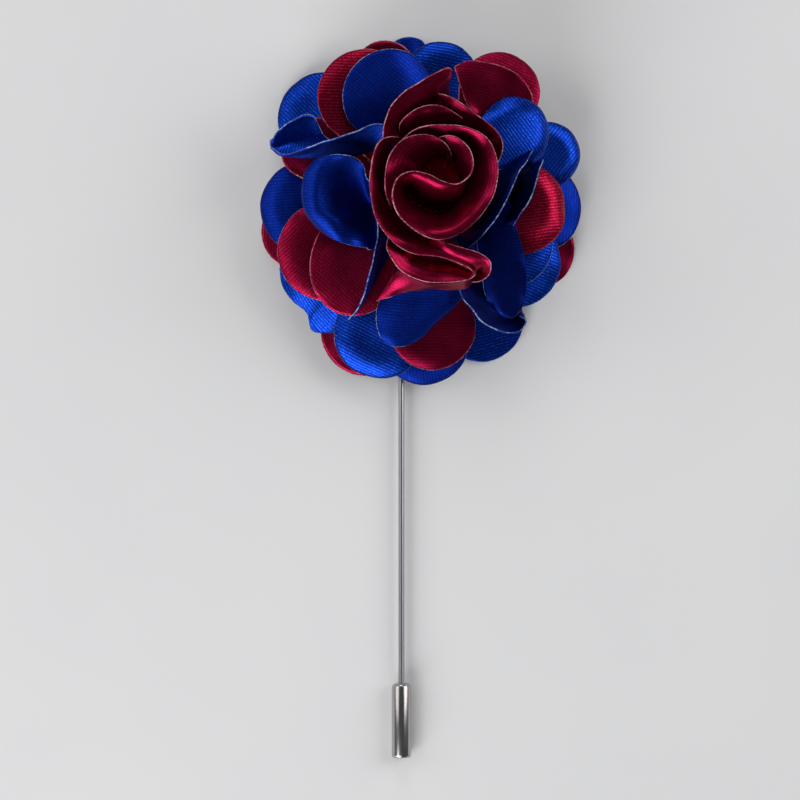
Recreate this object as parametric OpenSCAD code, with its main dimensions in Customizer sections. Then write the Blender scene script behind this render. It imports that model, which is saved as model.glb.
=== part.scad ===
// Ribbon flower lapel pin: a flower of burgundy and royal blue satin petals
// round a rolled burgundy rosette, on a steel stick with a barrel stopper.
// Millimetres. The flower faces +Z, the point of the stick runs towards -Y,
// and the pin lies on the plane Z = 0.

/* [Cloth] */
// Thickness of every petal and rosette wall
cloth = 1.0; // [0.9:0.05:1.05]
// Segments across a petal
petal_across = 8; // [6:2:12]
// Segments from a petal's foot to its rim
petal_along = 6; // [4:1:8]

/* [Backing] */
// Radius of the felt disc on the back
felt_radius = 9; // [7:0.5:9]
// Thickness of the felt disc
felt_thick = 1.0; // [0.8:0.1:1.0]
// Radius of the steel pad soldered to the stick
pad_radius = 5; // [4:0.5:6]

/* [Stick] */
// Radius of the round steel stick
stick_radius = 0.42; // [0.4:0.01:0.5]
// How far the point lies from the flower's axis
stick_reach = 73.5; // [70:0.5:76]
// Length of the tapered point
point_length = 3.5; // [2:0.5:5]
// Length of the free shaft that goes through the lapel
shaft_length = 40.3; // [36:0.1:40.5]

/* [Stopper] */
// Outer radius of the barrel stopper, which rests on the floor
stopper_radius = 1.35; // [1.3:0.05:1.6]
// Length of the stopper
stopper_length = 10.4; // [8:0.2:11]
// Clearance between the stick and the stopper's bore, on the radius
bore_clearance = 0.05; // [0.03:0.01:0.1]
// How far the stopper slides off the point
stopper_travel = 12; // [10:1:14]
// Stopper position for a preview, 0 = pushed on
stopper_slide = 0; // [0:0.5:12]

/* [Hidden] */
$fn = 64;
BLUE = [0.02, 0.13, 0.48];
BURGUNDY = [0.42, 0.0, 0.09];
FELT = [0.05, 0.05, 0.07];
STEEL = [0.72, 0.72, 0.72];
flower_x = 0;
flower_y = 26;
stick_x = -2.8;
stick_z = 1.35;
point_y = flower_y - stick_reach;
stopper_open_y = -39.3;
// The flower's end of the free shaft. Above it the stick thickens a little to the
// pad, and below it thins a little to the point
shaft_y = 1.6;
solder_radius = stick_radius + 0.03;
tip_radius = stick_radius - 0.02;
felt_z = 1.95;
// The gathered core that the petals are sewn round: radius and height of its
// foot, shoulder and top
core_foot = [6.2, 3.2];
core_shoulder = [6.2, 9.0];
core_top = [4.0, 14.4];
// The most that each half of a petal's round end sweeps
round_end = 105;
// Subdivisions down a rosette wall's depth
wall_down = 2;

// Petals. Tip and foot are given round the flower's axis (angle from +X, radius,
// height). arch: how far the petal bends over along its length. wide: width of the
// round end. cup_l, cup_r: how far the left and right sides curl up. roll, twist:
// turn about its length at the foot, and added by the tip. lip: how far the rim
// turns back. foot: half width at the foot, as a share of wide. oval: length of the
// round end against its width.
// [name, tip_az, tip_r, tip_z, foot_az, foot_r, foot_z, arch, wide,
//  cup_l, cup_r, roll, twist, lip, foot, oval]
PETALS = [
  ["petal_low_01", 91, 24.2, 0.6, 91, 7, 4, 10, 8.5, 20, 20, 0, 0, 0, 0.14, 1], // top, rests on the floor
  ["petal_low_02", 24, 23.6, 5.4, 28, 7, 6.7, 10, 9, 25, 0, 0, 0, 0, 0.14, 1], // upper right
  ["petal_low_03", 2, 22.2, 2.9, 3, 7, 5.25, 10, 12, 8, 8, 0, 0, 0, 0.14, 1], // right
  ["petal_low_04", -18, 22, 0.55, -18, 7, 4, 10, 10.5, 8, 8, 0, 0, 0, 0.14, 1], // right, on the floor
  ["petal_low_05", 299, 22.8, 0.6, 300, 7, 4, 10, 11.5, 8, 8, 0, 0, 0, 0.14, 1], // lower right, on the floor
  ["petal_low_06", 271, 23.9, 3.2, 272, 7, 5.5, 10, 12.5, 8, 8, 0, 0, 0, 0.14, 1], // bottom
  ["petal_low_07", 244.5, 24.3, 0.9, 245.5, 7, 4, 11, 12, 4, 8, 0, 0, 0, 0.14, 1], // bottom left
  ["petal_low_08", 222, 22.2, 3.2, 220, 7, 5.2, 10, 12.5, 6, 4, 0, 0, 0, 0.14, 1], // lower left
  ["petal_low_09", 191, 22.8, 0.55, 192, 7, 4, 10, 12, 10, 10, 0, 0, 0, 0.14, 1], // left
  ["petal_low_10", 148, 19.8, 7.2, 149, 7, 6.9, 0, 10.5, 40, 6, 0, 0, 0, 0.14, 1], // left, narrow
  ["petal_low_11", 136, 25.2, 1.4, 136, 7, 4, 10, 12.5, 10, 10, 0, 0, 0, 0.14, 1], // upper left
  ["petal_mid_01", 81, 23.1, 5.8, 80, 7, 5.3, 10, 11, 0, 20, 0, 0, 0, 0.14, 1], // top, right of centre
  ["petal_mid_02", 58, 24.6, 7.4, 58, 7, 7.9, 10, 13, 60, 10, 0, 0, 0, 0.14, 1], // upper right
  ["petal_mid_03", -21, 18.8, 6.9, -20, 7, 8.1, 5, 12, 5, 0, 0, 0, 0, 0.14, 1], // right, inner
  ["petal_mid_04", -28, 21, 4.8, -29, 7, 6.7, 10, 12, 8, 8, 0, 0, 0, 0.14, 1], // right, outer
  ["petal_mid_05", -51.5, 21, 9.2, -61.5, 8.5, 9.4, 0, 8.4, 0, 90, -5, 0, 0, 0.14, 1], // one side up
  ["petal_mid_06", 251, 24, 5, 250, 7, 7.1, 10, 12.5, 8, 8, 0, 0, 0, 0.14, 1], // bottom left
  ["petal_mid_07", 202, 20.8, 8.2, 203, 7, 7.1, 0, 13.5, 15, 15, 0, 0, 0, 0.14, 1], // lower left, outer
  ["petal_mid_08", 178, 22, 6.1, 177, 7, 5.7, 0, 12, 14, 4, 0, 0, 0.6, 0.14, 1], // far left
  ["petal_mid_09", 116, 24, 9.1, 119, 7, 8.2, 0, 13, 12, 12, 0, 0, 0, 0.14, 1], // upper left
  ["petal_mid_10", 101, 23.4, 7.5, 103, 7, 6.6, 0, 10, 0, 10, 0, 0, 0, 0.14, 1], // top, left of centre
  ["petal_high_01", 58.5, 23.2, 9.2, 58, 7, 9.4, 10, 11.2, 60, 10, 0, 0, 0, 0.14, 1], // upper right
  ["petal_high_02", 37.5, 20.8, 14, 61, 8, 11.2, 15, 10.4, -35, -50, 0, 0, 0, 0.14, 1], // rounded over
  ["petal_high_03", 5.6, 11.4, 19.5, 8.1, 10.4, 12.3, -6, 10.4, 10, 10, 0, 0, 0, 0.14, 1], // upright
  ["petal_high_04", 4.6, 14.4, 17, 5.6, 13.6, 10.4, -6, 8.6, 10, 10, 0, 0, 0, 0.14, 1], // upright
  ["petal_high_05", 2, 19.6, 9.4, 0, 7, 9.3, 5, 12.5, 12, 15, 0, 0, 0, 0.14, 1], // right
  ["petal_high_06", -48, 19.8, 10.2, -26, 9.2, 11.6, 45, 7.4, -50, -10, 0, 0, 0, 0.14, 1.4], // bent over
  ["petal_high_07", 275, 21.9, 7.1, 276, 7, 8.2, 12, 11.8, 8, 8, 0, 0, 0, 0.14, 1], // bottom
  ["petal_high_08", 256, 18.8, 10.4, 280, 9.6, 9.6, 8, 9, 10, 6, -6, 0, 0, 0.14, 1.1], // by the hem
  ["petal_high_09", 229, 12.3, 17, 237.6, 11.6, 9.8, 0, 11.3, 10, 10, 0, 0, 0, 0.14, 1], // upright
  ["petal_high_10", 202, 17, 11.2, 204, 7, 8.4, 0, 11, 20, 20, 0, 0, 0, 0.14, 1], // lower left, inner
  ["petal_high_11", 174, 14.4, 17.5, 186, 6.6, 10.2, -60, 12.3, 55, 50, 0, 0, 2.2, 0.14, 1], // deep cup
  ["petal_high_12", 155, 22.2, 12.9, 122, 11.8, 13.3, 0, 9.6, 140, 45, 30, -35, 0, 0.25, 1], // boat
  ["petal_high_13", 106, 22.5, 11.7, 104, 7, 9.5, 0, 13, 8, 10, 0, 0, 0, 0.14, 1], // large, top left
];

// Rosette walls: upright ribbon, one row for each turn of its rim.
// x, y: rim, from the flower's axis. top: height of the rim. depth: height of the
// wall. flare: how far the rim stands out from the foot, to the left of its run.
// [x, y, top, depth, flare]
SWIRL = [
  [3.7, 9.6, 21, 6, 0.3],
  [5.1, 9.1, 21.5, 6, 0.3],
  [6.3, 7.8, 22, 6, 0.3],
  [6.8, 5.9, 22, 7, 0.3],
  [6.3, 4.2, 22.3, 7, 0.3],
  [4.7, 3.1, 22.6, 7, 0],
  [2.7, 3.5, 22.8, 7, -0.6],
  [0.8, 4.4, 23, 7, -1.2],
  [-1.4, 4.8, 23, 7, -1],
  [-3.3, 3.9, 23, 7, -0.6],
  [-4.1, 2, 23, 7, -0.6],
  [-3.7, -0.2, 23, 7, -0.8],
  [-2.5, -1.9, 23, 7, -1],
  [-0.4, -3.5, 23, 7, -1],
  [2.1, -4.3, 23, 7, -1],
  [5.1, -3.5, 23, 7, -1],
  [7.8, -1.1, 22.7, 7, -0.8],
  [9.7, 1.9, 22.5, 7, -0.6],
  [10.2, 5, 22.3, 7, -0.6],
  [9.7, 7.8, 22, 6, -0.4],
  [7.8, 10, 21.8, 6, -0.3],
  [5.4, 11.1, 21.5, 6, -0.3],
  [2.5, 11.4, 21.3, 6, -0.3],
  [-0.3, 11.1, 21, 6, -0.3],
  [-2.3, 10.3, 20.5, 6, -0.3],
];
LOOP = [
  [3.1, 6.4, 20.5, 6, 0],
  [2.5, 7.7, 21, 6, -0.3],
  [1, 8.7, 21.2, 6, -0.5],
  [-1.1, 8.9, 21.5, 6, -0.6],
  [-3, 7.9, 21.5, 6, -0.6],
  [-4.2, 6, 21.4, 6, -0.5],
  [-5, 3.7, 21.2, 6, -0.2],
];
COLLAR = [
  [-5.2, 9.6, 20, 7, -0.6],
  [-6.2, 8, 20.5, 7, -0.8],
  [-6.9, 5.3, 21, 7, -0.8],
  [-7, 2.3, 21.2, 7, -0.8],
  [-6.5, -0.6, 21.2, 7, -1],
  [-5.2, -3.2, 21, 7, -1],
  [-3.3, -5.1, 21, 7, -0.8],
  [-1.1, -6.2, 21, 7, -0.5],
  [1.3, -6.4, 20.8, 7, -0.2],
  [3.8, -7, 20.5, 6, 0],
  [5.9, -7.9, 20, 5.5, 0],
  [7, -8.8, 19.5, 5, 0],
  [6.6, -9.8, 19, 5, 0],
];
FOLD = [
  [3.3, -5.5, 21, 5, 0],
  [5.6, -5.9, 20.8, 5, 0],
  [7.8, -6.3, 20.4, 5, 0],
  [9.2, -7.3, 20, 5, 0.2],
  [9, -9, 19.5, 5, 0.2],
  [7.8, -9.9, 19.3, 5, 0],
];
RUFFLE = [
  [-4.9, -5.3, 19.5, 4, -1],
  [-4.1, -6.8, 19.5, 4, -1.2],
  [-3, -8.3, 19, 4, -1.1],
  [-1.4, -9.3, 18.8, 3.8, -1],
  [0.8, -10, 18.6, 3.6, -0.8],
  [3, -10, 18.4, 3.4, -0.6],
];
HEM = [
  [-4.4, -11.8, 14.3, 2.4, -1.2],
  [-3, -11.3, 14.5, 2.4, -1.2],
  [-1.4, -11, 14.8, 2.4, -1.1],
  [0.8, -10.9, 15, 2.4, -0.8],
  [3.1, -11, 15.2, 2.4, -0.5],
  [5.2, -11.2, 15.4, 2.4, -0.4],
];
PEAK = [
  [-5.2, 10.9, 18.5, 6, 0.6],
  [-4.8, 12.6, 19, 6, 1],
  [-3.5, 14.5, 19.5, 6, 1.2],
  [-1.4, 16.3, 19.8, 6, 2],
  [0.5, 17.5, 20, 6, 2.2],
  [2.1, 18.3, 19.8, 6, 2.4],
  [3.4, 18.7, 19.5, 6, 2.4],
];
CAPE = [
  [4.2, 14.7, 20, 5, 0.6],
  [5.7, 13.7, 20, 5, 0.5],
  [7.5, 12.5, 20, 5, 0.4],
  [9.4, 11.1, 19.8, 5, 0.4],
  [10.7, 9.6, 19.5, 5, 0.4],
  [11.1, 8.5, 19.2, 5, 0.4],
];
BROW = [
  [-2.7, 12.4, 20, 5, 0.4],
  [-1.4, 13.3, 20.5, 5, 0.8],
  [0.2, 13.8, 20.8, 5, 1],
  [1.9, 14, 20.8, 5, 1],
  [3.2, 13.7, 20.5, 5, 0.8],
  [4, 13.2, 20, 5, 0.3],
];

function polar(az, r, z) = [flower_x + r * cos(az), flower_y + r * sin(az), z];
function row_of(name) = [for (p = PETALS) if (p[0] == name) p][0];

// A petal's spine is an arc in an upright plane:
// [foot point, heading, first slope, bend in degrees per mm, length]
function spine(p) =
  let (
    tip = polar(p[1], p[2], p[3]),
    root = polar(p[4], p[5], p[6]),
    c = tip - root,
    flat = norm([c[0], c[1]]),
    bend = abs(p[7]) < 0.1 ? 0.1 : p[7],
    len = norm(c) * (bend * PI / 360) / sin(bend / 2)
  )
  [root, atan2(c[1], c[0]), atan2(c[2], flat) + bend / 2, -bend / len, len];

// Point of a petal's middle surface: a from -1 to 1 across, b from 0 at the foot
// to 1 at the rim
function petal_point(p, s, a, b) =
  let (
    r = p[8] / 2,
    centre = s[4] - r * p[15],
    half_foot = p[14] * p[8],
    sweep = min(round_end, 86 + atan((r - half_foot) / centre), acos(max(-1, -centre / (r * p[15])))),
    al = sweep * a,
    foot_x = half_foot * a,
    x = foot_x + (r * sin(al) - foot_x) * b,
    y = (centre + r * p[15] * cos(al)) * b,
    slope = s[2] + s[3] * y,
    k = s[3] * PI / 180,
    run = (sin(slope) - sin(s[2])) / k,
    rise = (cos(s[2]) - cos(slope)) / k,
    on_spine = s[0] + [run * cos(s[1]), run * sin(s[1]), rise],
    side = [-sin(s[1]), cos(s[1]), 0],
    up = [-sin(slope) * cos(s[1]), -sin(slope) * sin(s[1]), cos(slope)],
    turn = p[11] + p[12] * y / s[4],
    side2 = side * cos(turn) + up * sin(turn),
    up2 = up * cos(turn) - side * sin(turn),
    cup0 = x >= 0 ? p[9] : p[10],
    cup = abs(cup0) < 0.01 ? 0.01 : cup0,
    round_r = r / (cup * PI / 180),
    ang = cup * abs(x) / r,
    out = norm([x, max(y - centre, 0)]) / r,
    turned = max(0, (out - 0.55) / 0.45)
  )
  on_spine + side2 * (round_r * sin(ang) * sign(x))
    + up2 * (round_r * (1 - cos(ang)) - p[13] * turned * turned);

function petal_normal(p, s, a, b) =
  let (
    h = 0.001,
    du = petal_point(p, s, a + h, b) - petal_point(p, s, a - h, b),
    dv = petal_point(p, s, a, b + h) - petal_point(p, s, a, b - h),
    n = cross(dv, du)
  )
  n / norm(n);

// Closed sheet from two grids of points with na + 1 by nb + 1 points each
module sheet(upper, lower, na, nb) {
  m = nb + 1;
  count = (na + 1) * m;
  faces = concat(
    [for (i = [0 : na - 1]) for (j = [0 : nb - 1]) [i * m + j, (i + 1) * m + j, i * m + j + 1]],
    [for (i = [0 : na - 1]) for (j = [0 : nb - 1]) [(i + 1) * m + j, (i + 1) * m + j + 1, i * m + j + 1]],
    [for (i = [0 : na - 1]) for (j = [0 : nb - 1])
      [count + i * m + j, count + i * m + j + 1, count + (i + 1) * m + j]],
    [for (i = [0 : na - 1]) for (j = [0 : nb - 1])
      [count + (i + 1) * m + j, count + i * m + j + 1, count + (i + 1) * m + j + 1]],
    [for (j = [0 : nb - 1]) [j, j + 1, count + j + 1]],
    [for (j = [0 : nb - 1]) [j, count + j + 1, count + j]],
    [for (j = [0 : nb - 1]) [na * m + j, count + na * m + j + 1, na * m + j + 1]],
    [for (j = [0 : nb - 1]) [na * m + j, count + na * m + j, count + na * m + j + 1]],
    [for (i = [0 : na - 1]) [i * m, count + i * m, count + (i + 1) * m]],
    [for (i = [0 : na - 1]) [i * m, count + (i + 1) * m, (i + 1) * m]],
    [for (i = [0 : na - 1]) [i * m + nb, count + (i + 1) * m + nb, count + i * m + nb]],
    [for (i = [0 : na - 1]) [i * m + nb, (i + 1) * m + nb, count + (i + 1) * m + nb]]
  );
  polyhedron(points = concat(upper, lower), faces = faces, convexity = 6);
}

module petal(name) {
  p = row_of(name);
  s = spine(p);
  na = petal_across;
  nb = petal_along;
  grid = [for (i = [0 : na]) for (j = [0 : nb]) [-1 + 2 * i / na, j / nb]];
  mid = [for (g = grid) petal_point(p, s, g[0], g[1])];
  nrm = [for (g = grid) petal_normal(p, s, g[0], g[1])];
  sheet(
    [for (i = [0 : len(mid) - 1]) mid[i] + nrm[i] * cloth / 2],
    [for (i = [0 : len(mid) - 1]) mid[i] - nrm[i] * cloth / 2],
    na, nb
  );
}

// Smooth curve through the rows of a rosette wall
function knot(rows, i) =
  i < 0 ? 2 * rows[0] - rows[1] :
  i > len(rows) - 1 ? 2 * rows[len(rows) - 1] - rows[len(rows) - 2] : rows[i];
function between(rows, i, t) =
  let (
    p0 = knot(rows, i - 1),
    p1 = knot(rows, i),
    p2 = knot(rows, i + 1),
    p3 = knot(rows, i + 2)
  )
  0.5 * (2 * p1 + (p2 - p0) * t + (2 * p0 - 5 * p1 + 4 * p2 - p3) * t * t
    + (3 * p1 - p0 - 3 * p2 + p3) * t * t * t);
function smooth(rows, n) = concat(
  [for (i = [0 : len(rows) - 2]) for (k = [0 : n - 1]) between(rows, i, k / n)],
  [rows[len(rows) - 1]]
);

module wall(rows, n) {
  c = smooth(rows, n);
  last = len(c) - 1;
  run = [for (i = [0 : last])
    let (d = c[min(i + 1, last)] - c[max(i - 1, 0)])
    [d[0], d[1]] / norm([d[0], d[1]])];
  // the wall's middle surface, j = 0 at the foot
  function at(i, j) =
    let (
      q = 1 - j / wall_down,
      back = c[i][4] * (1 - (1 - q) * (1 - q))
    )
    [flower_x + c[i][0] + run[i][1] * back, flower_y + c[i][1] - run[i][0] * back, c[i][2] - c[i][3] * q];
  function out(i, j) =
    let (
      du = at(min(i + 1, last), j) - at(max(i - 1, 0), j),
      dv = at(i, min(j + 1, wall_down)) - at(i, max(j - 1, 0)),
      v = cross(dv, du)
    )
    v / norm(v);
  sheet(
    [for (i = [0 : last]) for (j = [0 : wall_down]) at(i, j) + out(i, j) * cloth / 2],
    [for (i = [0 : last]) for (j = [0 : wall_down]) at(i, j) - out(i, j) * cloth / 2],
    last, wall_down
  );
}

module flower_core() color(BURGUNDY)
  translate([flower_x, flower_y, 0])
    rotate_extrude()
      polygon([
        [0, core_foot[1]], core_foot, core_shoulder, core_top, [0, core_top[1]]
      ]);

module felt_back() color(FELT)
  translate([flower_x, flower_y, felt_z])
    cylinder(r = felt_radius, h = felt_thick);

// Round length of the stick along -Y, from the height y, r1 at its upper end
module rod(y, len, r1, r2)
  translate([stick_x, y, stick_z])
    rotate([90, 0, 0])
      cylinder(r1 = r1, r2 = r2, h = len);

// Stick, point and soldered pad are one piece
module steel_pin() color(STEEL)
  union() {
    rod(flower_y + 5.5, flower_y + 5.5 - shaft_y, solder_radius, stick_radius);
    rod(shaft_y, shaft_length, stick_radius, stick_radius);
    rod(shaft_y - shaft_length, shaft_y - shaft_length - point_y - point_length, stick_radius, tip_radius);
    rod(point_y + point_length, point_length, tip_radius, 0.05);
    translate([stick_x, flower_y + 0.5, stick_z - 0.05])
      cylinder(r = pad_radius, h = 0.6);
  }

// Barrel with a blind bore for the point. It slides off towards -Y
module stopper() color(STEEL)
  translate([stick_x, stopper_open_y - min(stopper_slide, stopper_travel), stick_z])
    rotate([90, 0, 0])
      rotate_extrude()
        polygon([
          [stick_radius + bore_clearance, 0.3],
          [stick_radius + bore_clearance + 0.25, 0],
          [stopper_radius - 0.2, 0],
          [stopper_radius, 0.3],
          [stopper_radius, stopper_length - 0.45],
          [stopper_radius - 0.35, stopper_length],
          [0, stopper_length],
          [0, stopper_length - 1.7],
          [stick_radius + bore_clearance, stopper_length - 1.7]
        ]);

module petal_low_01() color(BLUE) petal("petal_low_01");
module petal_low_02() color(BLUE) petal("petal_low_02");
module petal_low_03() color(BLUE) petal("petal_low_03");
module petal_low_04() color(BURGUNDY) petal("petal_low_04");
module petal_low_05() color(BLUE) petal("petal_low_05");
module petal_low_06() color(BLUE) petal("petal_low_06");
module petal_low_07() color(BURGUNDY) petal("petal_low_07");
module petal_low_08() color(BLUE) petal("petal_low_08");
module petal_low_09() color(BURGUNDY) petal("petal_low_09");
module petal_low_10() color(BURGUNDY) petal("petal_low_10");
module petal_low_11() color(BLUE) petal("petal_low_11");
module petal_mid_01() color(BLUE) petal("petal_mid_01");
module petal_mid_02() color(BURGUNDY) petal("petal_mid_02");
module petal_mid_03() color(BLUE) petal("petal_mid_03");
module petal_mid_04() color(BLUE) petal("petal_mid_04");
module petal_mid_05() color(BLUE) petal("petal_mid_05");
module petal_mid_06() color(BLUE) petal("petal_mid_06");
module petal_mid_07() color(BURGUNDY) petal("petal_mid_07");
module petal_mid_08() color(BLUE) petal("petal_mid_08");
module petal_mid_09() color(BURGUNDY) petal("petal_mid_09");
module petal_mid_10() color(BURGUNDY) petal("petal_mid_10");
module petal_high_01() color(BURGUNDY) petal("petal_high_01");
module petal_high_02() color(BLUE) petal("petal_high_02");
module petal_high_03() color(BLUE) petal("petal_high_03");
module petal_high_04() color(BLUE) petal("petal_high_04");
module petal_high_05() color(BURGUNDY) petal("petal_high_05");
module petal_high_06() color(BLUE) petal("petal_high_06");
module petal_high_07() color(BURGUNDY) petal("petal_high_07");
module petal_high_08() color(BLUE) petal("petal_high_08");
module petal_high_09() color(BLUE) petal("petal_high_09");
module petal_high_10() color(BURGUNDY) petal("petal_high_10");
module petal_high_11() color(BLUE) petal("petal_high_11");
module petal_high_12() color(BLUE) petal("petal_high_12");
module petal_high_13() color(BLUE) petal("petal_high_13");
module rosette_swirl() color(BURGUNDY) wall(SWIRL, 2);
module rosette_loop() color(BURGUNDY) wall(LOOP, 3);
module rosette_collar() color(BURGUNDY) wall(COLLAR, 3);
module rosette_fold() color(BURGUNDY) wall(FOLD, 3);
module rosette_ruffle() color(BURGUNDY) wall(RUFFLE, 3);
module rosette_hem() color(BURGUNDY) wall(HEM, 3);
module rosette_peak() color(BURGUNDY) wall(PEAK, 3);
module rosette_cape() color(BURGUNDY) wall(CAPE, 3);
module rosette_brow() color(BURGUNDY) wall(BROW, 3);

petal_low_01();
petal_low_02();
petal_low_03();
petal_low_04();
petal_low_05();
petal_low_06();
petal_low_07();
petal_low_08();
petal_low_09();
petal_low_10();
petal_low_11();
petal_mid_01();
petal_mid_02();
petal_mid_03();
petal_mid_04();
petal_mid_05();
petal_mid_06();
petal_mid_07();
petal_mid_08();
petal_mid_09();
petal_mid_10();
petal_high_01();
petal_high_02();
petal_high_03();
petal_high_04();
petal_high_05();
petal_high_06();
petal_high_07();
petal_high_08();
petal_high_09();
petal_high_10();
petal_high_11();
petal_high_12();
petal_high_13();
rosette_swirl();
rosette_loop();
rosette_collar();
rosette_fold();
rosette_ruffle();
rosette_hem();
rosette_peak();
rosette_cape();
rosette_brow();
flower_core();
felt_back();
steel_pin();
stopper();
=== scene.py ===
"""Looks of the fabric lapel pin: satin petals and rosette, core, felt and steel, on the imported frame."""
import math
from collections import namedtuple

import bpy
import numpy as np
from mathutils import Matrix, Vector


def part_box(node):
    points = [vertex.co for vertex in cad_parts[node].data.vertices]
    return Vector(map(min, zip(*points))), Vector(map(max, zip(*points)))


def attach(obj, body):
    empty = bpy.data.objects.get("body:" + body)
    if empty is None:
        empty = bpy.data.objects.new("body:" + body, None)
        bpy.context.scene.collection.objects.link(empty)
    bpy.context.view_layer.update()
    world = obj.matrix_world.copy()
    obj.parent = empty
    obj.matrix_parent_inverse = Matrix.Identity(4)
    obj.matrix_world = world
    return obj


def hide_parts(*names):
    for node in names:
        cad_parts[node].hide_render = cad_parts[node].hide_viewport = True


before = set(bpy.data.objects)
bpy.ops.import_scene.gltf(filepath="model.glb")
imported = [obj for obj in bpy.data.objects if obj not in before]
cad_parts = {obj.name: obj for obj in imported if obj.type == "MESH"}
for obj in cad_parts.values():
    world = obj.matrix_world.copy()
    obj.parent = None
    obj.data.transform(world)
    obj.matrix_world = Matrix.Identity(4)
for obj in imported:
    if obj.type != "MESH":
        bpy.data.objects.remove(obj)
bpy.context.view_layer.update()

# Driving dimensions, in millimetres unless a comment says otherwise
MM = 0.001                      # one millimetre in Blender's metres
FLOWER = (0.0, 26.0)            # the flower's axis in plan
CLOTH = 0.26                    # thickness of the satin
RIB_PITCH = 0.42                # distance between two ribs of the satin
UV_UNIT = 10.0                  # length of cloth in one unit of the weave map
STRIP = 10.0                    # width of the ribbon, and the least flat width or length of a sheet
LEAST_AREA = 0.3                # least share of its width times length that is taken as a sheet's area

BEAD = 0.085                    # radius of the melted bead along a cut rim
BEAD_UNEVEN = 0.22              # share by which that radius varies
BEAD_STEP = 0.22                # distance between the bead's rings
BEAD_SIDES = 6                  # corners of a ring

PETAL_ACROSS = 64               # cells across a petal
PETAL_ALONG = 46                # cells from a petal's foot to its rim
PETAL_FOOT = 0.14               # half width of a petal's foot, as a share of the petal's width
END_SWEEP = math.radians(86)    # how far the round end turns on each side of a petal with parallel sides
MAX_SWEEP = math.radians(105)   # how far it turns at most
LIP_FROM = 0.55                 # share of the half width outside which the rim rolls over
PLEAT_HEIGHT = 0.1              # half the height of the pleats at a petal's foot
PLEAT_PITCH = 1.3               # width of a pleat
PLEAT_REACH = 2.2               # how far from the foot the pleats fade out
SWELLS_FROM = 4.0               # distance from the foot where a petal's swells are at their full height
NEAR_ZERO = 1e-4                # least curvature in radians a mm, so that a flat sheet isn't divided by zero
STRAIGHT = 0.001                # radians, the arch of a petal whose spine is straight

WALL_STEP = 0.28                # length of a rosette wall's cells
WALL_DEEP = 22                  # cells from a wall's foot to its rim
WALL_PARTS = 12                 # points of a wall's curve between two of its rows
WALL_CROWD = 1.5                # exponent that crowds the cells towards the rim
WALL_BOW = 2.8                  # exponent that puts most of a wall's lean near its rim
WALL_LIP = 1.8                  # depth under the rim that rolls over

NET_CELLS = 54                  # cells across and along a folded sheet
HANGING = "rosette_hem"         # the folded sheet whose foot hangs from the ruffle, not from the core
FOOT_RADIUS = 4.0               # distance of a folded sheet's gathered foot from the core's axis
FOOT_DROP = 1.0                 # how far that foot lies under the sheet's first row
FOOT_WIDTH = 0.3                # its width, as a share of that row's

CORE_LEAN = np.array([2.2, 4.2])  # how far the core's top stands from the flower's axis, in x and y
LEAN_FROM = 5.0                 # height where the core starts to lean
LEAN_OVER = 7.0                 # height over which it leans
CORE_PLEATS = 26                # pleats round the core
CORE_PLEAT = 0.22               # half their height
BORE = 0.47                     # radius of the stopper's blind bore
BORE_FLOOR = 1.7                # thickness of the stopper's closed end

SWELL_WAVES = 6                 # plane waves in a random field

# Relief of the cloth: height and pitch of its soft swells, then of its rim's waves, and how far in the waves
# fade out
Relief = namedtuple("Relief", "swell pitch wave wave_pitch fade")
PETAL_RELIEF = Relief(0.07, 7.5, 0.09, 4.2, 1.2)
NET_RELIEF = Relief(0.05, 6.0, 0.07, 3.6, 1.0)
WALL_RELIEF = Relief(0.06, 5.0, 0.07, 3.2, 2.0)

# Turned profiles: rows of radius and height, from the lower pole to the upper one
CORE_PROFILE = [(0, 3.2), (5.6, 3.2), (6.1, 3.5), (6.1, 4), (6, 5), (5.9, 6), (5.8, 7), (5.7, 8), (5.9, 9),
                (5.7, 10.5), (5.5, 11.6), (5.2, 12.6), (4.8, 13.1), (4.3, 13.1), (3.5, 12.2), (2, 11.4),
                (0, 11.3)]
FELT_PROFILE = [(0, 1.96), (4.5, 1.96), (8.4, 1.96), (8.75, 2.02), (8.9, 2.2), (8.9, 2.7), (8.75, 2.88),
                (8.4, 2.94), (4.5, 2.94), (0, 2.94)]
FELT_MIDDLE = 6.0               # radius inside which the disc is even

# Stage, in metres, degrees and watts
FLOOR = 2.4                     # side of the table top
AIM = (0, 0.015, 0.01)          # the point that the soft boxes look at
BOX_DISTANCE = 0.5              # from that point to each box
BOXES = (                       # name, azimuth, elevation, side of the box, power
    ("left box", 165, 36, 0.36, 0.7),
    ("right box", 18, 36, 0.36, 1.2),
    ("back box", 95, 34, 0.30, 0.6),
    ("front box", 240, 26, 0.34, 1.9),
)
SKY = (0.9, 0.93, 1, 1)
SKY_STRENGTH = 0.08
CAMERA = (-0.003, 0, 0.7)       # place of the camera, which looks straight down
FOCAL_LENGTH = 226.35           # mm
SENSOR = 36                     # mm

Petal = namedtuple("Petal", "name tone tip_az tip_r tip_z root_az root_r root_z arch wide "
                            "cup_left cup_right roll lip oval rib")

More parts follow.
